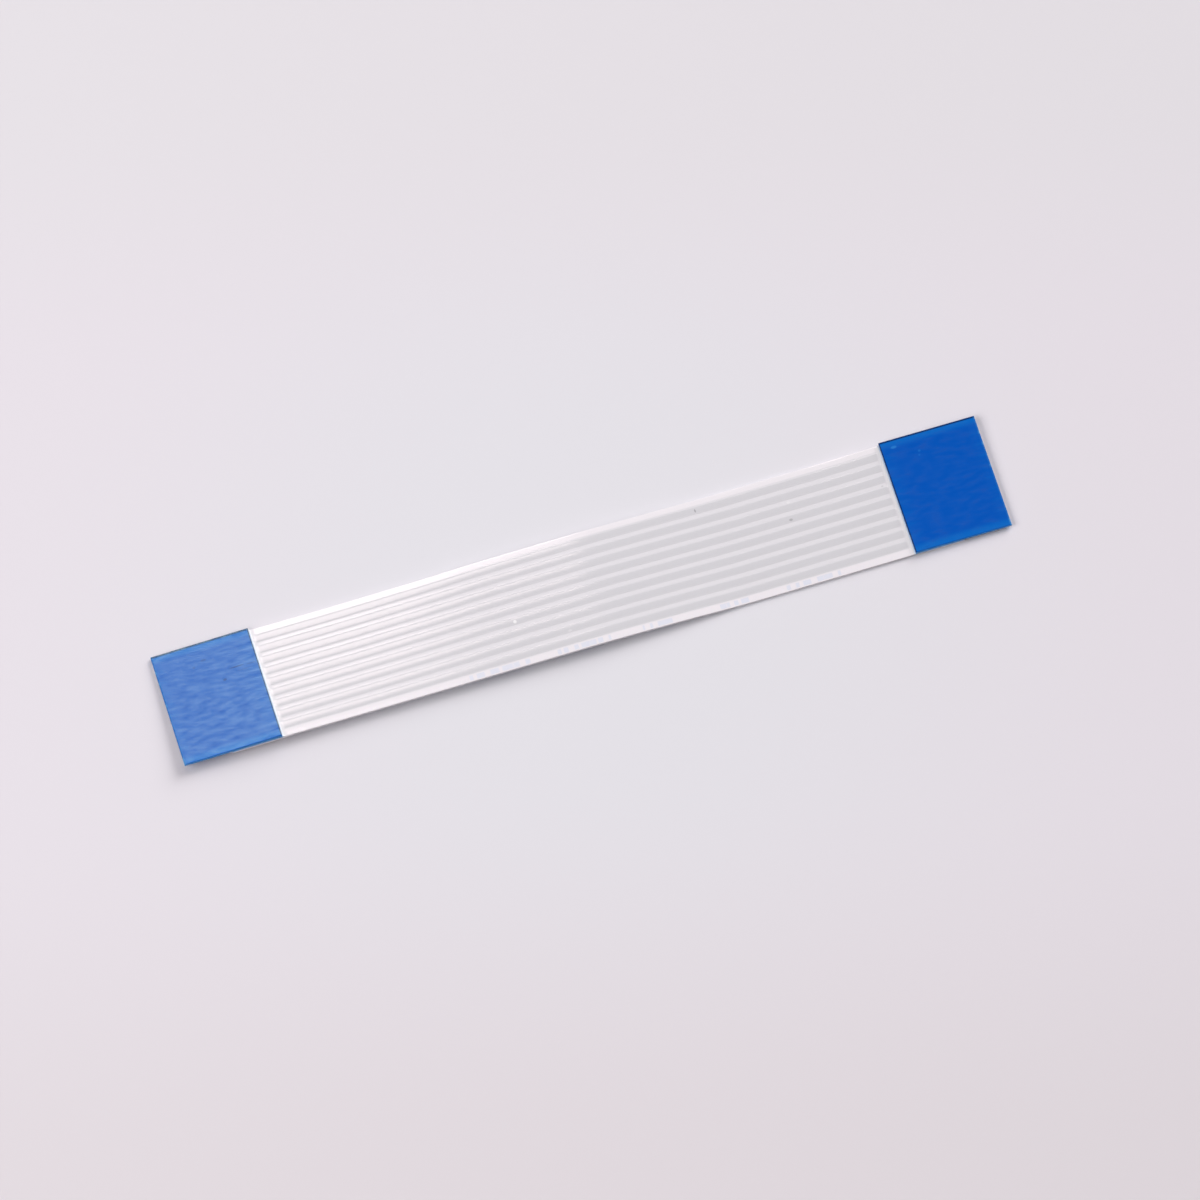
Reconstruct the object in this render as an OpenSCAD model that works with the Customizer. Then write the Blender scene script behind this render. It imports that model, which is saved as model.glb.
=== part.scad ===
// Flat flex cable. Tinned copper strips lie side by side between two white
// films that are bonded to each other in the gaps and along both edges. The
// films stop short of the ends, so the strips lie bare there on the underside,
// and a blue stiffener is bonded over each end on the upper side.
//
// The cable lies loose on a flat surface, with the shallow wave and twist that
// it keeps from its reel. X runs along it, Y across it and Z up. The origin is
// on the surface below the middle of the cable. Millimetres and degrees.

/* [Cable] */
// Length from end to end
cable_length = 70; // [45:1:300]
// Number of conductors
ways = 9; // [4:1:30]
// Distance from the middle of one conductor to the middle of the next
pitch = 1; // [0.8:0.05:2.5]
// Width of each margin, from the outer conductor's side to the films' edge,
// where the films lie in the middle
edge_width = 0.6; // [0.3:0.05:2]

/* [Conductors] */
// Width of a conductor
conductor_width = 0.7; // [0.3:0.05:0.9]
// Thickness of a conductor
conductor_thickness = 0.1; // [0.035:0.005:0.15]

/* [Films] */
// Thickness of each film, with its adhesive
film_thickness = 0.09; // [0.04:0.01:0.15]
// How far the films lie off the middle of the row of conductors, towards -Y
film_offset = 0.08; // [0:0.01:0.1]
// How far each film's face sinks beside a conductor
film_sink = 0.025; // [0:0.005:0.05]
// How far in from a conductor's side the crown of its rib ends
crown_inset = 0.13; // [0:0.01:0.2]
// Width of the slope from a rib's crown down into the gap
rib_slope = 0.17; // [0.05:0.01:0.3]
// Length beside each stiffener over which the upper film bridges the gaps
bridge_length = 0.25; // [0.1:0.05:1]

/* [Ends] */
// Length of bare conductor at each end
strip_length = 4; // [2:0.5:6]
// Length of each stiffener
stiffener_length = 8.2; // [7:0.1:15]
// Thickness of a stiffener, with its adhesive
stiffener_thickness = 0.2; // [0.1:0.01:0.3]
// How far a stiffener stands out past the films' edges
stiffener_overhang = 0.05; // [0:0.01:0.1]
// Length over which a stiffener steps down from the film to the bare conductors
step_length = 0.6; // [0.3:0.1:1]
// How far the grooves between the ribs still show on a stiffener's face at its inner edge
groove_show = 0.002; // [0:0.001:0.01]
// Length over which they fade out towards the tip
groove_fade = 1.6; // [0.5:0.1:2]

/* [Hidden] */
// Rise and roll of the cable at even stations, from the inner edge of the left
// stiffener to that of the right one. Rise is the height of the middle of the
// underside, and roll is positive where the +Y edge is the higher.
station_rise = [0.32, 0.3, 0.35, 0.5, 0.55, 0.31, 0, 0, 0.1];
station_roll = [-3.2, -3.2, -2.7, -1.5, -1.2, -0.9, 0, 0, 1.1];
// Rise of the middle of the underside at the left tip and at the right one
tip_rise = [0.16, 0.1];
// How far the free length's edges hang below its middle, and the length over
// which that starts beside a stiffener
camber = 0.02;
camber_start = 3;
// Length over which a bridged gap in the upper film comes up from under a stiffener
bridge_rise = 0.05;
// Largest distance between two rings of a lofted piece
ring_spacing = 3;

film_half_width = ((ways - 1) * pitch + conductor_width) / 2 + edge_width;
film_edges = [-film_half_width - film_offset, film_half_width - film_offset];
stiffener_half_width = film_half_width + stiffener_overhang;
stiffener_edges = [-stiffener_half_width, stiffener_half_width];
conductor_gap = pitch - conductor_width;
inset = min(crown_inset, conductor_width / 4);
slope = min(rib_slope, inset + conductor_gap / 3);
fade = min(groove_fade, (stiffener_length - strip_length) / 2);

// Heights through the cable, counted from its underside below a conductor
conductor_low = film_thickness;
conductor_high = conductor_low + conductor_thickness;
film_meeting = (conductor_low + conductor_high) / 2;
crest = conductor_high + film_thickness;
groove = crest - film_sink;

// How far the upper film's face is grooved between its ribs, at distances from
// a stiffener's inner edge. It is 0 where the film bridges the gaps.
bridge = [[0, 1], [bridge_rise, 0], [bridge_length, 0], [2 * bridge_length, 1]];

free_length = cable_length - 2 * stiffener_length;
ring_count = ceil(free_length / ring_spacing);
left_xs = concat(strip_length, [for (b = bridge) stiffener_length + b[0]]);
middle_xs = [for (i = [1:ring_count - 1]) stiffener_length + free_length * i / ring_count];
film_xs = concat(left_xs, middle_xs, [for (x = reversed(left_xs)) cable_length - x]);
conductor_xs = concat(0, film_xs, cable_length);

film_color = "whitesmoke";
conductor_color = "silver";
stiffener_color = [0.02, 0.33, 0.72];

function reversed(list) = [for (i = [len(list) - 1:-1:0]) list[i]];

// ---- The set: where the flat cable's cross-section comes to lie at each x

// Slope at a station between two steps of a curve. It is level at a crest or
// a foot, so the curve never passes its stations.
function station_slope(before, after) =
    before * after <= 0 ? 0 : 2 * before * after / (before + after);

// Cubic curve through evenly spaced values, at s spaces from the first. Its
// slopes at both ends are given, per space.
function curve(values, first_slope, last_slope, s) =
    let (last = len(values) - 1)
    let (i = min(floor(s), last - 1))
    let (t = s - i)
    let (step = values[i + 1] - values[i])
    let (m0 = i == 0 ? first_slope : station_slope(values[i] - values[i - 1], step))
    let (m1 = i == last - 1 ? last_slope : station_slope(step, values[i + 2] - values[i + 1]))
    values[i] + t * (m0 + t * (3 * step - 2 * m0 - m1 + t * (m0 + m1 - 2 * step)));

last_station = len(station_rise) - 1;
station_space = free_length / last_station;
left_slope = (station_rise[0] - tip_rise[0]) / stiffener_length;
right_slope = (tip_rise[1] - station_rise[last_station]) / stiffener_length;

// Distance along the free length between the stiffeners, and what is left of x beyond it
function free_part(x) = max(0, min(free_length, x - stiffener_length));
function beyond(x) = x - stiffener_length - free_part(x);

// The stiffened ends are straight and carry on at the slope of the free length's ends
function rise(x) =
    let (first_slope = left_slope * station_space)
    let (last_slope = right_slope * station_space)
    curve(station_rise, first_slope, last_slope, free_part(x) / station_space)
    + beyond(x) * (beyond(x) < 0 ? left_slope : right_slope);
function roll(x) = curve(station_roll, 0, 0, free_part(x) / station_space);

// How far the edges hang below the middle, which starts gently beside a stiffener
function bow(x) =
    let (from_stiffener = min(x, cable_length - x) - stiffener_length)
    let (t = max(0, min(1, from_stiffener / camber_start)))
    camber * t * t * (3 - 2 * t);

// Where the point [y, z] of the cross-section at x lies before the cable is set
// on the surface
function bend(x, point) =
    let (z = point.y - bow(x) * pow(point.x / film_half_width, 2))
    [
        x - cable_length / 2,
        point.x * cos(roll(x)) - z * sin(roll(x)),
        rise(x) + point.x * sin(roll(x)) + z * cos(roll(x))
    ];

// Where the same point comes to lie
function lie(x, point) = bend(x, point) + [0, 0, lift];

// ---- Cross-sections: rows of [y, z] in order of y

function conductor_y(k) = (k - (ways + 1) / 2) * pitch;

// A row of points across the cable from edge to edge, with four at each conductor.
// Its heights are those at the margins, in the gaps and over the conductors. The
// step between them starts at an inset from a conductor's side and takes a width.
function row(edges, heights, step_inset = 0, step_width = 0) = [
    [edges[0], heights[0]],
    for (k = [1:ways])
        for (corner = [[-1, 1], [-1, 0], [1, 0], [1, 1]])
            let (from_middle = conductor_width / 2 - step_inset + corner[1] * step_width)
            let (y = conductor_y(k) + corner[0] * from_middle)
            [y, corner[1] == 0 ? heights[2] : heights[abs(y) > conductor_y(ways) ? 0 : 1]],
    [edges[1], heights[0]]
];

// The same row on the other side of the plane where the films meet
function mirrored(points) = [for (p = points) [p.x, 2 * film_meeting - p.y]];

film_seat = row(film_edges, [film_meeting, film_meeting, conductor_high]);

// The film's outer face, where grooved is 1 at the full depth of the gaps and 0
// where the film bridges them
function film_face(grooved) =
    row(film_edges, [groove, crest - grooved * film_sink, crest], inset, slope);

function upper_film(x) =
    [film_seat, film_face(lookup(min(x, cable_length - x) - stiffener_length, bridge))];
lower_film = [mirrored(film_face(1)), mirrored(film_seat)];

function conductor_section(k) = [
    for (z = [conductor_low, conductor_high])
        [for (side = [-1, 1]) [conductor_y(k) + side * conductor_width / 2, z]]
];

// A stiffener's cross-section at a distance from the tip. Its seat lies on the
// film's ribs and steps down to the bare conductors. Its face runs straight from
// the film's height at the inner edge down to the conductors' at the tip.
function stiffener_section(from_tip) =
    let (on_film = max(0, min(1, 1 - (strip_length - from_tip) / step_length)))
    let (seat = conductor_high + on_film * film_thickness)
    let (seat_groove = seat - on_film * film_sink)
    let (face = conductor_high + stiffener_thickness + film_thickness * from_tip / stiffener_length)
    let (grooved = max(0, 1 - (stiffener_length - from_tip) / fade))
    let (face_groove = face - grooved * groove_show)
    [
        row(stiffener_edges, [seat_groove, seat_groove, seat], inset, slope),
        row(stiffener_edges, [face_groove, face_groove, face], inset, slope)
    ];

// How far the cable is raised so that the lowest point of the lower film and of
// the conductors' tips comes to lie on the surface
lift = -min(concat(
    [for (x = film_xs) for (p = lower_film[0]) bend(x, p).z],
    [for (x = [0, cable_length]) for (k = [1, ways]) for (p = conductor_section(k)[0]) bend(x, p).z]
));

// ---- Lofting

// A four-sided panel as two triangles. It is cut along its shorter diagonal,
// so two pieces that share a panel are cut alike and meet face to face.
function cut_panel(points, q) =
    norm(points[q[0]] - points[q[2]]) <= norm(points[q[1]] - points[q[3]])
        ? [[q[0], q[1], q[2]], [q[0], q[2], q[3]]]
        : [[q[0], q[1], q[3]], [q[1], q[2], q[3]]];

// A ribbon lofted through its cross-sections at xs, each a lower row and an
// upper row with as many points
module ribbon(xs, sections) {
    row_size = len(sections[0][0]);
    ring_size = 2 * row_size;
    last_ring = (len(xs) - 1) * ring_size;
    points = [
        for (i = [0:len(xs) - 1])
            for (p = concat(sections[i][0], reversed(sections[i][1])))
                lie(xs[i], p)
    ];
    sides = [
        for (start = [0:ring_size:last_ring - 1])
            for (j = [0:ring_size - 1])
                let (next = (j + 1) % ring_size)
                [start + ring_size + j, start + ring_size + next, start + next, start + j]
    ];
    near_end = [
        for (j = [0:row_size - 2])
            [j, j + 1, ring_size - 2 - j, ring_size - 1 - j]
    ];
    far_end = [for (q = near_end) [for (i = reversed(q)) i + last_ring]];
    polyhedron(points, [for (q = concat(near_end, sides, far_end)) each cut_panel(points, q)]);
}

// ---- Pieces

module film_top() {
    color(film_color)
        ribbon(film_xs, [for (x = film_xs) upper_film(x)]);
}

module film_bottom() {
    color(film_color)
        ribbon(film_xs, [for (x = film_xs) lower_film]);
}

module conductor(k) {
    color(conductor_color)
        ribbon(conductor_xs, [for (x = conductor_xs) conductor_section(k)]);
}

// Distances from the tip at which a stiffener's cross-section changes
stiffener_stations = [
    0,
    strip_length - step_length,
    strip_length,
    stiffener_length - fade,
    stiffener_length
];

module stiffener_left() {
    color(stiffener_color)
        ribbon(stiffener_stations, [for (s = stiffener_stations) stiffener_section(s)]);
}

module stiffener_right() {
    stations = reversed(stiffener_stations);
    color(stiffener_color)
        ribbon([for (s = stations) cable_length - s], [for (s = stations) stiffener_section(s)]);
}

film_top();
film_bottom();
stiffener_left();
stiffener_right();
for (k = [1:ways])
    conductor(k);
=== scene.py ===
"""Looks of a flat flex cable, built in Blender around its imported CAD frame.

Nine tinned copper strips lie between two white films, with a blue stiffener over each end. The cable lies
loose on a table, in the shallow wave and twist that it keeps from its reel. Lengths are in metres.
"""

import bpy
import numpy as np
from mathutils import Matrix, Vector


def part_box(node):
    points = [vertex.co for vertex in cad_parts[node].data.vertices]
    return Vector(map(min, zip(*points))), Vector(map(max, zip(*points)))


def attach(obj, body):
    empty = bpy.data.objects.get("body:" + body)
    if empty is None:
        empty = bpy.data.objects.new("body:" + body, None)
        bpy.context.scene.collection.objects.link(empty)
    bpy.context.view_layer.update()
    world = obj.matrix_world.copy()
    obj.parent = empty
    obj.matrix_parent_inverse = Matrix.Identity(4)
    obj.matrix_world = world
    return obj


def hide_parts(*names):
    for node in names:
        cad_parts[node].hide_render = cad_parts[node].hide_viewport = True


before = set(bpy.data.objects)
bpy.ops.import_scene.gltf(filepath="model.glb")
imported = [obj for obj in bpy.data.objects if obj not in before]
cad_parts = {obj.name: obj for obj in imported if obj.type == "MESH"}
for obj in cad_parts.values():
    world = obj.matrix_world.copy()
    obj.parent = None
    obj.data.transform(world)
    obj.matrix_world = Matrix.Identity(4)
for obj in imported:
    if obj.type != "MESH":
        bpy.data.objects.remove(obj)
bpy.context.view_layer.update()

MM = 0.001

# ---- Sizes, worked out as in the part's source, apart from the ribs' crowns, slopes and offset

WAYS = 9
PITCH = 1 * MM
CONDUCTOR_WIDTH = 0.7 * MM
CONDUCTOR_THICKNESS = 0.1 * MM
EDGE_WIDTH = 0.6 * MM
FILM_THICKNESS = 0.09 * MM
# How far each film's face sinks beside a conductor, the width of a rib's flat crown and that of its slopes
FILM_SINK = 0.025 * MM
RIB_CROWN = 0.45 * MM
RIB_SLOPE = 0.15 * MM
STIFFENER_THICKNESS = 0.2 * MM
STIFFENER_OVERHANG = 0.05 * MM
FILM_HALF_WIDTH = ((WAYS - 1) * PITCH + CONDUCTOR_WIDTH) / 2 + EDGE_WIDTH
STIFFENER_HALF_WIDTH = FILM_HALF_WIDTH + STIFFENER_OVERHANG
# How far the films, and their ribs, lie off the middle of the row of conductors, towards -Y
FILM_OFFSET = 0.08 * MM
RIB_OFFSET = 0.035 * MM

# Heights through the cable, counted from its underside below a conductor
CONDUCTOR_LOW = FILM_THICKNESS
CONDUCTOR_HIGH = CONDUCTOR_LOW + CONDUCTOR_THICKNESS
FILM_MEETING = (CONDUCTOR_LOW + CONDUCTOR_HIGH) / 2
CREST = CONDUCTOR_HIGH + FILM_THICKNESS

# Stretches along the cable, from its middle, as the frame has them
CABLE_START, CABLE_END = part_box("conductor_5")[0].x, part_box("conductor_5")[1].x
FILM_START, FILM_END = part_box("film_top")[0].x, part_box("film_top")[1].x
FREE_START, FREE_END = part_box("stiffener_left")[1].x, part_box("stiffener_right")[0].x

# Rise of the middle of the underside, and roll in degrees (positive where the +Y edge is the higher), at
# even stations from the inner edge of the left stiffener to that of the right one
STATION_RISE = np.array([0.32, 0.3, 0.35, 0.5, 0.55, 0.31, 0, 0, 0.1]) * MM
STATION_ROLL = np.radians([-3.2, -3.2, -2.7, -1.5, -1.2, -0.9, 0, 0, 1.1])
LEFT_TIP_RISE = 0.16 * MM
RIGHT_TIP_RISE = 0.1 * MM
# How far the free length's edges hang below its middle, and the length over which that starts
CAMBER = 0.02 * MM
CAMBER_START = 3 * MM

STATION_SPACE = (FREE_END - FREE_START) / (len(STATION_RISE) - 1)
LEFT_SLOPE = (STATION_RISE[0] - LEFT_TIP_RISE) / (FREE_START - CABLE_START)
RIGHT_SLOPE = (RIGHT_TIP_RISE - STATION_RISE[-1]) / (CABLE_END - FREE_END)
# How far the cable is raised so that its lowest ribs come to lie on the table
LIFT = CAMBER * ((WAYS - 1) / 2 * PITCH + RIB_CROWN / 2 + RIB_OFFSET) ** 2 / FILM_HALF_WIDTH**2


# ---- The set: where the flat cable's points come to lie


def curve(values, first_slope, last_slope, x):
    """Cubic through the stations' values, level at a crest or a foot, elsewhere at the harmonic mean of the
    slopes of the two steps beside it. The slopes at both ends are given, per metre."""
    steps = np.diff(values)
    before, after = steps[:-1], steps[1:]
    turns = before * after <= 0
    inner = np.where(turns, 0, 2 * before * after / np.where(turns, 1, before + after))
    slopes = np.concatenate([[first_slope * STATION_SPACE], inner, [last_slope * STATION_SPACE]])
    s = np.clip((x - FREE_START) / STATION_SPACE, 0, len(steps))
    i = np.minimum(s.astype(int), len(steps) - 1)
    t = s - i
    rise, m0, m1 = steps[i], slopes[i], slopes[i + 1]
    return values[i] + t * (m0 + t * (3 * rise - 2 * m0 - m1 + t * (m0 + m1 - 2 * rise)))


def smooth(low, high, value):
    """0 below low, 1 above high, and an S-curve between them."""
    t = np.clip((value - low) / (high - low), 0, 1)
    return t * t * (3 - 2 * t)


def lie(x, y, z):
    """The place of points of the flat cable. Each cross-section is bowed a little, rolled about the middle of
    its underside and lifted. The stiffened ends are flat, and run on at the slope of the free length."""
    x, y, z = np.broadcast_arrays(x, y, z)
    beyond = x - np.clip(x, FREE_START, FREE_END)
    slope = np.where(beyond < 0, LEFT_SLOPE, RIGHT_SLOPE)
    rise = LIFT + curve(STATION_RISE, LEFT_SLOPE, RIGHT_SLOPE, x) + beyond * slope
    roll = curve(STATION_ROLL, 0, 0, x)
    from_end = np.minimum(x - FREE_START, FREE_END - x)
    z = z - CAMBER * smooth(0, CAMBER_START, from_end) * (y / FILM_HALF_WIDTH) ** 2
    return np.stack(
        [x, y * np.cos(roll) - z * np.sin(roll), rise + y * np.sin(roll) + z * np.cos(roll)], axis=-1
    )


# ---- Camera

CAMERA_AIM = Vector((1.19, -1.04, 0)) * MM
CAMERA_DISTANCE = 759 * MM
CAMERA_AZIMUTH = np.radians(15.5)
CAMERA_ELEVATION = np.radians(68.2)
CAMERA_ROLL = np.radians(-1.9)


def add_camera():
    """A long lens looking down on the cable from its -Y side."""
    camera = bpy.data.objects.new("camera", bpy.data.cameras.new("camera"))
    bpy.context.scene.collection.objects.link(camera)
    camera.data.lens = 281
    camera.data.sensor_width = 36
    camera.data.clip_start, camera.data.clip_end = 0.01, 20
    az, el = CAMERA_AZIMUTH, CAMERA_ELEVATION
    forward = Vector((np.sin(az) * np.cos(el), np.cos(az) * np.cos(el), -np.sin(el)))
    turn = forward.to_track_quat("-Z", "Y").to_matrix().to_4x4() @ Matrix.Rotation(CAMERA_ROLL, 4, "Z")
    camera.matrix_world = Matrix.Translation(CAMERA_AIM - CAMERA_DISTANCE * forward) @ turn
    bpy.context.scene.camera = camera


add_camera()

# ---- Meshes


def new_piece(name, points, faces, flat, material, slot):
    """A smooth piece from arrays of points and four-sided faces, with the flat cable's place of each point,
    in millimetres from the left tip and from the middle, as its UV map."""
    mesh = bpy.data.meshes.new(name)
    mesh.from_pydata(points.reshape(-1, 3).tolist(), [], faces.reshape(-1, 4).tolist())
    place = flat.reshape(-1, 2)[faces.reshape(-1)] / MM
    mesh.uv_layers.new(name="flat").data.foreach_set("uv", place.astype(np.float32).ravel())
    mesh.shade_smooth()
    piece = bpy.data.objects.new(name, mesh)
    bpy.context.scene.collection.objects.link(piece)
    mesh.materials.append(material)
    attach(piece, "root")
    return piece


def shell(x, y, low, high):
    """Points, faces and flat places of a closed sheet over a grid of x and y: the upper face at height high,
    the lower face at height low, and a wall round the rim where the two are joined."""
    x, y = np.meshgrid(x, y, indexing="ij")
    across, along = x.shape[1], x.shape[0]
    points = np.stack([lie(x, y, np.broadcast_to(h, x.shape)) for h in (high, low)])
    flat = np.stack([x - CABLE_START, y], axis=-1)
    number = np.arange(2 * along * across).reshape(2, along, across)
    up, down = number
    top = np.stack([up[:-1, :-1], up[1:, :-1], up[1:, 1:], up[:-1, 1:]], axis=-1)
    bottom = np.stack([down[:-1, :-1], down[:-1, 1:], down[1:, 1:], down[1:, :-1]], axis=-1)

    def round_rim(n):
        return np.concatenate([n[:-1, 0], n[-1, :-1], n[:0:-1, -1], n[0, :0:-1]])

    a, b = round_rim(up), round_rim(down)
    wall = np.stack([a, b, np.roll(b, -1), np.roll(a, -1)], axis=-1)
    faces = np.concatenate([top.reshape(-1, 4), bottom.reshape(-1, 4), wall])
    return points, faces, np.stack([flat, flat])


def along_between(start, end, step, rim):
    """Places from start to end, step apart, closer together in the last rim at both ends."""
    near = rim * np.array([0, 0.12, 0.35, 0.65, 1])
    middle = np.linspace(start + rim, end - rim, max(2, round((end - start) / step)))
    return np.concatenate([start + near[:-1], middle, end - near[-2::-1]])


def rounding(distance, radius):
    """How far a face has dropped at a distance from its rim, where the rim is rounded to a radius."""
    d = np.clip(distance / radius, 0, 1)
    return radius * (1 - np.sqrt(1 - (1 - d) ** 2))


def rim_distance(x, y):
    """Distance of each point of a grid from the nearest rim of the grid."""
    return np.minimum(np.minimum(x - x[0], x[-1] - x)[:, None], np.minimum(y - y[0], y[-1] - y)[None, :])


CONDUCTOR_YS = (np.arange(WAYS) - (WAYS - 1) / 2) * PITCH
RIM = 0.02 * MM


def over_conductors(y):
    """1 on a rib, 0 in the gaps and at the edges, with an S-curve down each of its slopes."""
    distance = np.abs(y[:, None] - CONDUCTOR_YS[None, :] + RIB_OFFSET).min(axis=1)
    return 1 - smooth(RIB_CROWN / 2, RIB_CROWN / 2 + RIB_SLOPE, distance)


def cable_ys(low, high):
    """Grid lines across the cable from edge to edge: close together on the ribs' slopes, at the conductors'
    sides and at the edges."""
    slope = RIB_CROWN / 2 + RIB_SLOPE * np.linspace(0, 1, 9)
    rib = np.concatenate([-slope, [0], slope]) - RIB_OFFSET
    side = CONDUCTOR_WIDTH / 2 * np.array([-1.08, -1, 1, 1.08])
    lines = (CONDUCTOR_YS[:, None] + np.concatenate([rib, side])[None, :]).ravel()
    rim = RIM * np.array([6, 1, 0.6, 0.3, 0.1, 0])
    return np.sort(np.concatenate([low + rim, lines, high - rim]))


# Adhesive pressed out beside each stiffener fills the upper film's grooves for a short way, and rises to the
# stiffener's inner edge
BEAD_LENGTH = 0.25 * MM
BEAD_FADE = 0.25 * MM
BEAD_RISE = 0.1 * MM


def film_xs():
    """Grid lines along the films, closer together in the adhesive beside each stiffener."""
    bead = np.concatenate([[0, 0.01], np.linspace(0.1, 1, 9)]) * (BEAD_LENGTH + BEAD_FADE)
    xs = along_between(FILM_START, FILM_END, 0.35 * MM, RIM)
    inner = np.concatenate([FREE_START + bead, FREE_END - bead])
    apart = np.abs(xs[:, None] - inner[None, :]).min(axis=1) > 0.02 * MM
    return np.sort(np.concatenate([xs[apart], inner]))


def beside_stiffener(x):
    """Distance of each place along the cable from the nearer stiffener's inner edge, on the free length."""
    return np.minimum(x - FREE_START, FREE_END - x)


def film_face(x, y, bead=0.0):
    """Height of the film's outer face: the crest on a rib and the groove beside it, rounded off at the rim.
    Where bead is 1, adhesive fills the grooves and rises to a stiffener."""
    sink = FILM_SINK * (1 - over_conductors(y))[None, :]
    beside = beside_stiffener(x)[:, None]
    filled = np.where(beside > 0, 1 - smooth(BEAD_LENGTH, BEAD_LENGTH + BEAD_FADE, beside), 0)
    rise = np.where(beside > 0, BEAD_RISE * np.clip(1 - beside / BEAD_LENGTH, 0, 1) ** 2, 0)
    return CREST - sink * (1 - bead * filled) + bead * rise - rounding(rim_distance(x, y), RIM)


def film_seat(x, y):
    """Height of the film's inner face: on the conductors, and on the other film beside them."""
    distance = np.abs(y[:, None] - CONDUCTOR_YS[None, :]).min(axis=1)
    over = 1 - smooth(CONDUCTOR_WIDTH / 2, 1.08 * CONDUCTOR_WIDTH / 2, distance)
    return np.broadcast_to(FILM_MEETING + (CONDUCTOR_HIGH - FILM_MEETING) * over, (len(x), len(y)))


def add_films(top_finish, bottom_finish):
    """The upper film, and the lower one as its mirror image in the plane where they meet."""
    x = film_xs()
    y = cable_ys(-FILM_HALF_WIDTH - FILM_OFFSET, FILM_HALF_WIDTH - FILM_OFFSET)
    seat = film_seat(x, y)
    top = new_piece("film_top_sheet", *shell(x, y, seat, film_face(x, y, bead=1.0)), top_finish, "film")
    low, high = 2 * FILM_MEETING - film_face(x, y), 2 * FILM_MEETING - seat
    bottom = new_piece("film_bottom_sheet", *shell(x, y, low, high), bottom_finish, "film")
    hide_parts("film_top")
    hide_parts("film_bottom")
    return top, bottom


# How far the grooves still show on a stiffener's face beside its inner edge, and how far in
TELEGRAPH = 0.002 * MM
TELEGRAPH_LENGTH = 1.6 * MM
# Length over which a stiffener's underside steps down off the end of the film
STEP_LENGTH = 0.6 * MM
# How far a stiffener's long edges stand above its middle
CUP = 0.022 * MM


def add_stiffener(name, material):
    """A tape over one end. Its underside lies on the film's ribs and steps down to the bare conductors. Its
    face runs straight from the film's height at the inner edge down to the conductors' at the tip."""
    left = name.endswith("left")
    start, end = (CABLE_START, FREE_START) if left else (FREE_END, CABLE_END)
    x = along_between(start, end, 0.1 * MM, RIM)
    y = cable_ys(-STIFFENER_HALF_WIDTH, STIFFENER_HALF_WIDTH)
    from_tip = (x - CABLE_START if left else CABLE_END - x)[:, None]
    length, strip = end - start, FILM_START - CABLE_START
    gaps = (1 - over_conductors(y))[None, :]
    on_film = smooth(strip - STEP_LENGTH, strip, from_tip)
    low = CONDUCTOR_HIGH + on_film * (CREST - FILM_SINK * gaps - CONDUCTOR_HIGH)
    telegraph = TELEGRAPH * smooth(length - TELEGRAPH_LENGTH, length, from_tip) * gaps
    high = CONDUCTOR_HIGH + STIFFENER_THICKNESS + (CREST - CONDUCTOR_HIGH) * from_tip / length
    high = high + CUP * (y[None, :] / STIFFENER_HALF_WIDTH) ** 2
    high = high - telegraph - rounding(rim_distance(x, y), RIM)
    piece = new_piece(name + "_tape", *shell(x, y, low, high), material, "stiffener")
    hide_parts(name)
    return piece


# Radius of a conductor's edges, and the distance between its rings of points
CONDUCTOR_ROUNDING = 0.035 * MM
CONDUCTOR_RINGS = 0.5 * MM


def add_conductor(k, material):
    """A flat drawn strip: a rounded oblong cross-section carried along the cable."""
    r = CONDUCTOR_ROUNDING
    turn = np.radians(np.linspace(0, 90, 5))
    corner = np.stack([np.cos(turn), np.sin(turn)], axis=-1) * r
    half_w, half_t = CONDUCTOR_WIDTH / 2 - r, CONDUCTOR_THICKNESS / 2 - r
    turns = [(1, 1, 1), (-1, 1, -1), (-1, -1, 1), (1, -1, -1)]
    section = np.concatenate(
        [corner[::order] * [sy, sz] + [sy * half_w, sz * half_t] for sy, sz, order in turns]
    )
    xs = np.linspace(CABLE_START, CABLE_END, round((CABLE_END - CABLE_START) / CONDUCTOR_RINGS) + 1)
    y = CONDUCTOR_YS[k] + section[:, 0]
    z = (CONDUCTOR_LOW + CONDUCTOR_HIGH) / 2 + section[:, 1]
    rings, around = len(xs), len(section)
    points = lie(xs[:, None], y[None, :], z[None, :])
    flat = np.stack(np.broadcast_arrays(xs[:, None] - CABLE_START, y[None, :]), axis=-1)
    n = np.arange(rings * around).reshape(rings, around)
    sides = np.stack(
        [n[:-1], np.roll(n[:-1], -1, axis=1), np.roll(n[1:], -1, axis=1), n[1:]], axis=-1
    ).reshape(-1, 4)
    half = around // 2
    a, b = np.arange(half - 1), around - 1 - np.arange(half - 1)
    cap = np.stack([a, b, b - 1, a + 1], axis=-1)
    faces = np.concatenate([sides, cap, cap[:, ::-1] + (rings - 1) * around])
    piece = new_piece(f"conductor_{k + 1}_strip", points, faces, flat, material, "conductor")
    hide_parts(f"conductor_{k + 1}")
    return piece


# ---- Shader helpers


def put(tree, kind, sockets=None, **settings):
    """A node of a kind with its settings, its sockets given as values or as other nodes' outputs."""
    node = tree.nodes.new(kind)
    for key, value in settings.items():
        setattr(node, key, value)
    for key, value in (sockets or {}).items():
        if isinstance(value, bpy.types.NodeSocket):
            tree.links.new(value, node.inputs[key])
        else:
            node.inputs[key].default_value = value
    return node


def calc(tree, operation, *terms):
    """The result of a Math node on values or outputs."""
    return put(tree, "ShaderNodeMath", dict(enumerate(terms)), operation=operation).outputs[0]


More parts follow.
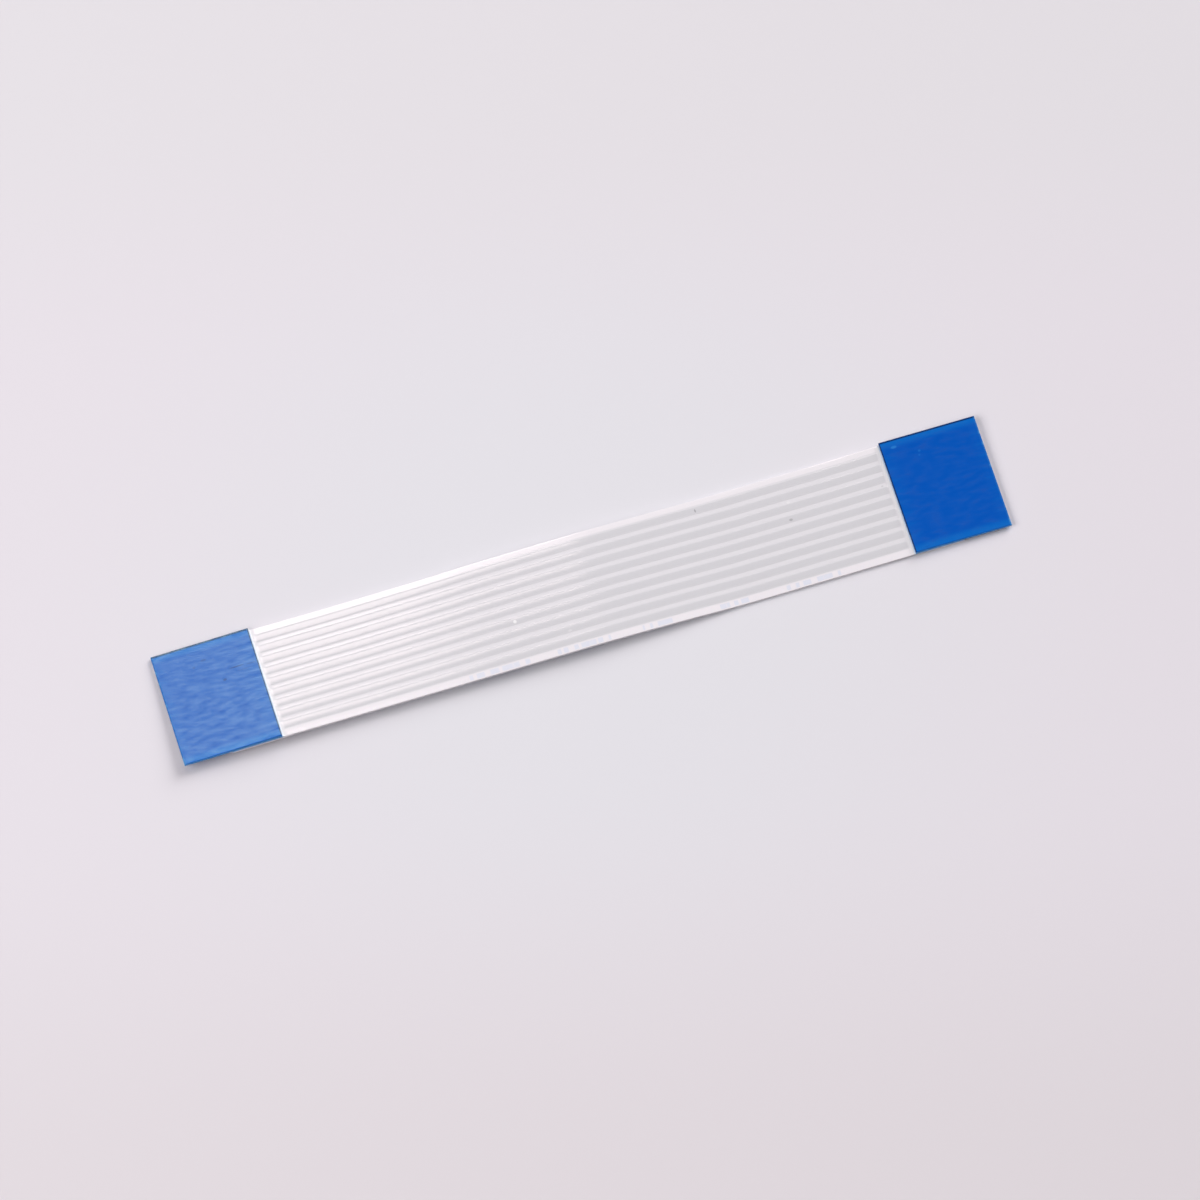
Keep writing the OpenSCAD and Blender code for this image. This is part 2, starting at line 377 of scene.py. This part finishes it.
def ease(tree, value, low, high, start=0.0, end=1.0):
    """start where value is under low, end where it is over high, and an S-curve between."""
    sockets = {"Value": value, "From Min": low, "From Max": high, "To Min": start, "To Max": end}
    return put(tree, "ShaderNodeMapRange", sockets, interpolation_type="SMOOTHSTEP").outputs["Result"]


def within(tree, distance, full, gone):
    """1 where a distance is under full, 0 where it is over gone, and an S-curve between."""
    return ease(tree, distance, full, gone, 1.0, 0.0)


def times(tree, *factors):
    """The product of values or outputs."""
    product = factors[0]
    for factor in factors[1:]:
        product = calc(tree, "MULTIPLY", product, factor)
    return product


def blend_colors(tree, share, first, second):
    """first where share is 0, second where it is 1."""
    node = put(tree, "ShaderNodeMix", data_type="RGBA")
    for socket, value in ((node.inputs[0], share), (node.inputs[6], first), (node.inputs[7], second)):
        if isinstance(value, bpy.types.NodeSocket):
            tree.links.new(value, socket)
        else:
            socket.default_value = value
    return node.outputs[2]


def srgb(r, g, b):
    """A colour given as it shows on a screen, from 0 to 255, as linear light."""
    c = np.array([r, g, b]) / 255
    linear = np.where(c <= 0.04045, c / 12.92, ((c + 0.055) / 1.055) ** 2.4)
    return (*linear.tolist(), 1.0)


def new_group(name, inputs, outputs):
    """An empty shader group with its named sockets, and its input and output nodes."""
    group = bpy.data.node_groups.new(name, "ShaderNodeTree")
    for label, (kind, value) in inputs.items():
        socket = group.interface.new_socket(label, in_out="INPUT", socket_type=kind)
        if value is not None:
            socket.default_value = value
    for label in outputs:
        group.interface.new_socket(label, in_out="OUTPUT", socket_type="NodeSocketFloat")
    return group, group.nodes.new("NodeGroupInput"), group.nodes.new("NodeGroupOutput")


def rows_group():
    """Masks of the cable's rows, in millimetres. Over is 1 on a conductor and 0 beside it. It leaves 1 at
    Half from the conductor's middle and reaches 0 at Half plus Soft. Beyond is the distance outwards from
    the middle of the outer conductors, negative between them."""
    group, given, out = new_group(
        "conductor_rows",
        {
            "Place": ("NodeSocketVector", None),
            "Half": ("NodeSocketFloat", 0.35),
            "Soft": ("NodeSocketFloat", 0.1),
        },
        ["Over", "Beyond"],
    )
    y = put(group, "ShaderNodeSeparateXYZ", {0: given.outputs["Place"]}).outputs["Y"]
    away = calc(group, "PINGPONG", y, PITCH / MM / 2)
    beyond = calc(group, "SUBTRACT", calc(group, "ABSOLUTE", y), CONDUCTOR_YS[-1] / MM)
    end = calc(group, "ADD", given.outputs["Half"], given.outputs["Soft"])
    over = within(group, calc(group, "MAXIMUM", away, beyond), given.outputs["Half"], end)
    group.links.new(over, out.inputs["Over"])
    group.links.new(beyond, out.inputs["Beyond"])
    return group


def grain_group():
    """Fine relief and slow mottling. Fine is a small-scale noise drawn out along the cable, Slow a broad one,
    both from -1 to 1."""
    group, given, out = new_group(
        "grain",
        {
            "Place": ("NodeSocketVector", None),
            "Fine Scale": ("NodeSocketFloat", 6.0),
            "Slow Scale": ("NodeSocketFloat", 0.6),
            "Stretch": ("NodeSocketFloat", 0.35),
        },
        ["Fine", "Slow"],
    )
    stretch = put(group, "ShaderNodeCombineXYZ", {0: given.outputs["Stretch"], 1: 1.0, 2: 1.0}).outputs[0]
    drawn = put(group, "ShaderNodeVectorMath", {0: given.outputs["Place"], 1: stretch}, operation="MULTIPLY")
    for label, scale, detail in (("Fine", "Fine Scale", 3.0), ("Slow", "Slow Scale", 4.0)):
        noise = put(
            group,
            "ShaderNodeTexNoise",
            {"Vector": drawn.outputs[0], "Scale": given.outputs[scale], "Detail": detail},
        )
        centred = calc(group, "MULTIPLY_ADD", noise.outputs[0], 2.0, -1.0)
        group.links.new(centred, out.inputs[label])
    return group


def mark_group():
    """A small mark: 1 inside an ellipse about Middle, with a Length along the cable, a Width across it and a
    soft edge. Places and sizes are in millimetres."""
    group, given, out = new_group(
        "small_mark",
        {
            "Place": ("NodeSocketVector", None),
            "Middle": ("NodeSocketVector", None),
            "Length": ("NodeSocketFloat", 0.3),
            "Width": ("NodeSocketFloat", 0.1),
        },
        ["Mark"],
    )
    size = put(group, "ShaderNodeCombineXYZ", {0: given.outputs["Length"], 1: given.outputs["Width"], 2: 1.0})
    away = put(
        group,
        "ShaderNodeVectorMath",
        {0: given.outputs["Place"], 1: given.outputs["Middle"]},
        operation="SUBTRACT",
    )
    share = put(group, "ShaderNodeVectorMath", {0: away.outputs[0], 1: size.outputs[0]}, operation="DIVIDE")
    distance = put(group, "ShaderNodeVectorMath", {0: share.outputs[0]}, operation="LENGTH").outputs["Value"]
    group.links.new(within(group, distance, 0.3, 0.65), out.inputs["Mark"])
    return group


ROWS, GRAIN, MARK = rows_group(), grain_group(), mark_group()


def use(tree, group, **sockets):
    """A group placed in a material, with its own values. A socket's name has _ for a space."""
    node = put(tree, "ShaderNodeGroup", node_tree=group)
    for key, value in sockets.items():
        socket = node.inputs[key.replace("_", " ")]
        if isinstance(value, bpy.types.NodeSocket):
            tree.links.new(value, socket)
        else:
            socket.default_value = value
    return node.outputs


def new_material(name, **finish):
    """A material with its Principled shader, whose plain sockets are given, and the flat cable's place."""
    material = bpy.data.materials.new(name)
    material.use_nodes = True
    tree = material.node_tree
    shader = tree.nodes["Principled BSDF"]
    for key, value in finish.items():
        shader.inputs[key.replace("_", " ")].default_value = value
    place = put(tree, "ShaderNodeUVMap", uv_map="flat").outputs[0]
    return material, tree, shader, place


def marks(tree, place, spots):
    """The largest of several small marks, each given as (x, y, length, width, strength)."""
    total = 0.0
    for x, y, length, width, strength in spots:
        mark = use(tree, MARK, Place=place, Middle=(x, y, 0), Length=length, Width=width)["Mark"]
        total = calc(tree, "MAXIMUM", calc(tree, "MULTIPLY", mark, strength), total)
    return total


def relief(tree, shader, height):
    """A small relief of the given height, in millimetres."""
    bump = put(tree, "ShaderNodeBump", {"Height": height, "Strength": 1.0, "Distance": MM})
    tree.links.new(bump.outputs[0], shader.inputs["Normal"])


# Places along the cable are in millimetres from its left tip, and places across it from its middle
LENGTH = (CABLE_END - CABLE_START) / MM
STIFFENER_LENGTH = (FREE_START - CABLE_START) / MM

# Where the stretches of print on the lower film's underside start and end, and the row in which they lie
PRINTED = [(23.8, 29.2), (31.5, 36.0), (38.7, 41.4), (45.2, 47.7), (50.8, 55.5)]
PRINT_ROW_Y = -4.72
PRINT_HALF_WIDTH = 0.21
# Small marks, as (x, y, length, width, strength)
DARK_FILM_SPOTS = [(45.83, 3.95, 0.12, 0.3, 0.55), (53.04, 0.87, 0.3, 0.22, 0.4), (61.0, 1.4, 0.2, 0.15, 0.2)]
LIGHT_FILM_SPOTS = [(28.98, -1.1, 0.3, 0.3, 0.9), (53.3, 2.4, 0.3, 0.2, 0.4), (33.0, -3.2, 0.3, 0.2, 0.3)]


def film_material(name, print_color, print_strength, upper=False):
    """White film, greyer over the conductors, where the tinned metal shows through. The upper film is paler
    in the adhesive beside a stiffener, partly a painted highlight that offsets the stiffener's shadow; a
    painted pale blue glow runs along the stiffener's inner edge, and painted blue light lies on the film
    below the stiffener. Print is plain bars of uneven length in a row."""
    material, tree, shader, place = new_material(name, Roughness=0.13, IOR=1.55)
    axes = put(tree, "ShaderNodeSeparateXYZ", {0: place}).outputs
    rows = use(tree, ROWS, Place=place, Half=0.2, Soft=0.22)
    grain = use(tree, GRAIN, Place=place)
    from_tip = calc(tree, "MINIMUM", axes["X"], calc(tree, "SUBTRACT", LENGTH, axes["X"]))
    beside = calc(tree, "SUBTRACT", from_tip, STIFFENER_LENGTH)
    grey = times(tree, rows["Over"], ease(tree, beside, 0.15, 0.55)) if upper else rows["Over"]
    margin = ease(tree, rows["Beyond"], 0.35, 0.5)
    white = blend_colors(tree, margin, srgb(231, 228, 233), srgb(242, 237, 242))
    color = blend_colors(tree, grey, white, srgb(214, 212, 217))
    if upper:
        # Paler adhesive strip beside a stiffener: partly the adhesive's own white, partly a painted highlight
        # that offsets the stiffener's shadow
        color = blend_colors(tree, within(tree, beside, 0.15, 0.45), color, srgb(246, 244, 248))
        # Painted light: a pale blue glow along the stiffener's inner edge
        color = blend_colors(tree, within(tree, beside, 0.04, 0.16), color, srgb(205, 224, 248))
        # Painted light: blue light from the tape, on the film below a stiffener
        color = blend_colors(tree, calc(tree, "LESS_THAN", beside, 0.0), color, srgb(140, 185, 232))

    printed = 0.0
    for start, end in PRINTED:
        from_middle = calc(tree, "ABSOLUTE", calc(tree, "SUBTRACT", axes["X"], (start + end) / 2))
        stretch = calc(tree, "LESS_THAN", from_middle, (end - start) / 2)
        printed = calc(tree, "MAXIMUM", printed, stretch)
    from_row = calc(tree, "ABSOLUTE", calc(tree, "SUBTRACT", axes["Y"], PRINT_ROW_Y))
    row = calc(tree, "LESS_THAN", from_row, PRINT_HALF_WIDTH)
    uneven = {"W": axes["X"], "Scale": 1.7, "Detail": 0.0}
    bars = put(tree, "ShaderNodeTexNoise", uneven, noise_dimensions="1D").outputs[0]
    printed = times(tree, printed, row, ease(tree, bars, 0.42, 0.5), print_strength)
    color = blend_colors(tree, printed, color, print_color)

    color = blend_colors(tree, marks(tree, place, DARK_FILM_SPOTS), color, srgb(120, 118, 122))
    color = blend_colors(tree, marks(tree, place, LIGHT_FILM_SPOTS), color, srgb(248, 246, 248))
    tree.links.new(color, shader.inputs["Base Color"])
    relief(tree, shader, calc(tree, "MULTIPLY", grain["Fine"], 0.0005))
    return material


# Dark specks, dark lines of painted shade along a crease near the left stiffener's inner edge, and pale
# specks on the right one
TAPE_SPECKS_AND_CREASE_SHADE = [
    (5.2, 1.2, 0.3, 0.2, 0.8),
    (4.0, 3.4, 0.5, 0.2, 0.5),
    (3.1, 3.0, 0.25, 0.2, 0.4),
    (6.4, 2.02, 1.2, 0.1, 0.9),
    (7.6, 1.96, 0.9, 0.08, 0.5),
    (6.9, 1.62, 1.3, 0.08, 0.35),
]
LIGHT_TAPE_SPOTS = [(62.9, 4.3, 0.5, 0.25, 0.35), (64.8, 3.4, 0.25, 0.2, 0.2), (64.7, 3.05, 0.2, 0.2, 0.15)]


def stiffener_material():
    """Glossy blue tape. It is lighter along the long edges and near both ends, where no metal or less of it
    lies close below. Its far rim and its inner rims are dark lines of painted shade, which stand in for the
    rounded rims' dark reflections, and its near rim has a narrower line of painted shade. Its cut walls are
    paler, the near wall with a painted blue glow. The gloss is uneven, in streaks along the cable."""
    material, tree, shader, place = new_material("blue_tape", IOR=1.63, Specular_Tint=(0.63, 1.0, 0.78, 1.0))
    axes = put(tree, "ShaderNodeSeparateXYZ", {0: place}).outputs
    rows = use(tree, ROWS, Place=place, Half=0.3, Soft=0.16)
    grain = use(tree, GRAIN, Place=place, Fine_Scale=2.6, Slow_Scale=0.9)
    from_tip = calc(tree, "MINIMUM", axes["X"], calc(tree, "SUBTRACT", LENGTH, axes["X"]))
    from_film = calc(tree, "SUBTRACT", STIFFENER_LENGTH, from_tip)
    from_near = calc(tree, "ADD", axes["Y"], STIFFENER_HALF_WIDTH / MM)
    from_far = calc(tree, "SUBTRACT", STIFFENER_HALF_WIDTH / MM, axes["Y"])
    gaps = calc(tree, "SUBTRACT", 1.0, rows["Over"])

    margin = ease(tree, rows["Beyond"], 0.1, 0.75)
    ends = calc(tree, "MAXIMUM", within(tree, from_film, 0.1, 1.5), within(tree, from_tip, 0.2, 1.2))
    streaks = calc(tree, "MULTIPLY_ADD", gaps, 0.25, 0.15)
    lighter = calc(tree, "MAXIMUM", margin, times(tree, ends, streaks))
    color = blend_colors(tree, lighter, srgb(0, 85, 188), srgb(6, 104, 198))
    blotches = ease(tree, grain["Fine"], 0.1, 0.5, 0.0, 0.35)
    color = blend_colors(tree, blotches, color, srgb(0, 70, 172))
    # Dark specks, and painted shade along the crease
    color = blend_colors(tree, marks(tree, place, TAPE_SPECKS_AND_CREASE_SHADE), color, srgb(0, 48, 130))
    color = blend_colors(tree, marks(tree, place, LIGHT_TAPE_SPOTS), color, srgb(60, 160, 230))

    # Painted shade: dark lines along the far rim and the inner rims stand in for the rims' dark reflections
    painted_rim_shade = calc(tree, "MAXIMUM", within(tree, from_far, 0.11, 0.2), within(tree, from_film, 0.05, 0.13))
    color = blend_colors(tree, painted_rim_shade, color, srgb(8, 52, 110))
    # Painted shade: a dark line along the near rim, whose side faces away from the light
    painted_near_rim_shade = ease(tree, from_near, 0.03, 0.09, 0.6, 0.0)
    color = blend_colors(tree, painted_near_rim_shade, color, srgb(6, 60, 140))
    tip_line = ease(tree, from_tip, 0.05, 0.2, 0.5, 0.0)
    color = blend_colors(tree, tip_line, color, srgb(40, 118, 186))
    # Painted light: the near cut wall is a paler blue, a glow where it gets little light
    painted_near_wall_glow = calc(tree, "LESS_THAN", from_near, 0.002)
    color = blend_colors(tree, painted_near_wall_glow, color, srgb(60, 150, 225))

    # Pale burrs on the cut end, in about half of the gaps: painted highlights where they catch the light
    gap = {"W": calc(tree, "FLOOR", axes["Y"])}
    gap_value = put(tree, "ShaderNodeTexWhiteNoise", gap, noise_dimensions="1D").outputs["Value"]
    chosen = calc(tree, "GREATER_THAN", gap_value, 0.45)
    burr_highlights = times(tree, chosen, gaps, within(tree, from_tip, 0.06, 0.14))
    color = blend_colors(tree, burr_highlights, color, srgb(70, 140, 205))
    tree.links.new(color, shader.inputs["Base Color"])

    tree.links.new(ease(tree, grain["Fine"], -0.3, 0.5, 0.17, 0.27), shader.inputs["Roughness"])
    height = calc(tree, "MULTIPLY", grain["Slow"], 0.006)
    relief(tree, shader, calc(tree, "MULTIPLY_ADD", grain["Fine"], 0.002, height))
    return material


def conductor_material():
    """Bright tinned copper with fine lines from drawing."""
    material, tree, shader, place = new_material("tinned_copper", Metallic=1.0, Roughness=0.25)
    shader.inputs["Base Color"].default_value = (0.82, 0.82, 0.8, 1)
    grain = use(tree, GRAIN, Place=place, Fine_Scale=30.0, Stretch=0.03)
    relief(tree, shader, calc(tree, "MULTIPLY", grain["Fine"], 0.0005))
    return material


top_film_finish = film_material("white_film", srgb(226, 228, 241), 0.8, upper=True)
bottom_film_finish = film_material("white_film_printed", srgb(52, 66, 150), 0.9)
stiffener_finish = stiffener_material()
conductor_finish = conductor_material()

film_top, film_bottom = add_films(top_film_finish, bottom_film_finish)
stiffeners = [add_stiffener(name, stiffener_finish) for name in ("stiffener_left", "stiffener_right")]
conductors = [add_conductor(k, conductor_finish) for k in range(WAYS)]

# Places of the middle of the cable's cross-section, at its left tip and along it; they are worked out and not
# kept
cord_x = np.linspace(CABLE_START + 2 * MM, CABLE_END - 2 * MM, 23)
lie(CABLE_START, 0, FILM_MEETING).tolist()
lie(cord_x, 0, FILM_MEETING).tolist()

# ---- Table and light


def add_table():
    """A pale plain table top below the cable. Its white is a little uneven: pinker away from the cable, and
    darker towards the front."""
    size = 3.0
    mesh = bpy.data.meshes.new("table")
    corners = [(-size, -size, 0), (size, -size, 0), (size, size, 0), (-size, size, 0)]
    mesh.from_pydata(corners, [], [(0, 1, 2, 3)])
    table = bpy.data.objects.new("table", mesh)
    bpy.context.scene.collection.objects.link(table)
    material = bpy.data.materials.new("table")
    material.use_nodes = True
    tree = material.node_tree
    shader = tree.nodes["Principled BSDF"]
    place = put(tree, "ShaderNodeTexCoord").outputs["Object"]
    middle = put(tree, "ShaderNodeVectorMath", {0: place}, operation="LENGTH").outputs["Value"]
    color = blend_colors(tree, ease(tree, middle, 0.01, 0.05), srgb(226, 224, 230), srgb(228, 222, 229))
    slope = put(tree, "ShaderNodeVectorMath", {0: place, 1: (0.27, 0.96, 0)}, operation="DOT_PRODUCT")
    away = slope.outputs["Value"]
    color = blend_colors(tree, ease(tree, away, -0.052, -0.016, 1.0, 0.0), color, srgb(223, 216, 221))
    color = blend_colors(tree, ease(tree, away, 0.02, 0.045), color, srgb(226, 222, 227))
    tree.links.new(color, shader.inputs["Base Color"])
    shader.inputs["Roughness"].default_value = 0.6
    shader.inputs["Specular IOR Level"].default_value = 0
    mesh.materials.append(material)


def add_softbox(name, azimuth, elevation, distance, width, height, radiance, color=(1, 1, 1)):
    """A soft lamp that faces the cable. Azimuth is counted from +Y towards +X."""
    lamp = bpy.data.lights.new(name, "AREA")
    lamp.shape = "RECTANGLE"
    lamp.size, lamp.size_y = width, height
    lamp.energy = radiance * np.pi * width * height
    lamp.color = color
    box = bpy.data.objects.new(name, lamp)
    bpy.context.scene.collection.objects.link(box)
    az, el = np.radians([azimuth, elevation])
    away = Vector((np.sin(az) * np.cos(el), np.cos(az) * np.cos(el), np.sin(el)))
    box.location = distance * away
    box.rotation_euler = away.to_track_quat("Z", "Y").to_euler()
    box.visible_camera = False


def add_world():
    """A dim room, a little lighter near the horizon. To the camera and in mirrors it is pale there and dark
    overhead."""
    world = bpy.data.worlds.new("studio")
    world.use_nodes = True
    tree = world.node_tree
    direction = put(tree, "ShaderNodeTexCoord").outputs["Generated"]
    up = put(tree, "ShaderNodeSeparateXYZ", {0: direction}).outputs["Z"]
    light = put(tree, "ShaderNodeMapRange", {"Value": up, "To Min": 0.15, "To Max": 0.08}).outputs[0]
    backdrop = ease(tree, up, 0.1, 0.6, 0.85, 0.005)
    path = put(tree, "ShaderNodeLightPath").outputs
    seen = calc(tree, "MAXIMUM", path["Is Camera Ray"], path["Is Glossy Ray"])
    seen = calc(tree, "MAXIMUM", seen, path["Is Transmission Ray"])
    strength = put(tree, "ShaderNodeMix", {0: seen, 2: light, 3: backdrop}, data_type="FLOAT").outputs[0]
    background = tree.nodes["Background"]
    background.inputs["Color"].default_value = (1, 1, 1, 1)
    tree.links.new(strength, background.inputs["Strength"])
    bpy.context.scene.world = world


add_table()
add_softbox("right_softbox", 55, 31, 1.6, 1.2, 1.0, 6.5)
add_softbox("left_softbox", 261, 42, 0.7, 0.62, 0.4, 4.5)
add_softbox("back_softbox", 1, 57.9, 0.5, 0.11, 0.105, 6.5, (1, 0.86, 0.85))
add_world()
bpy.context.scene.view_settings.view_transform = "Standard"
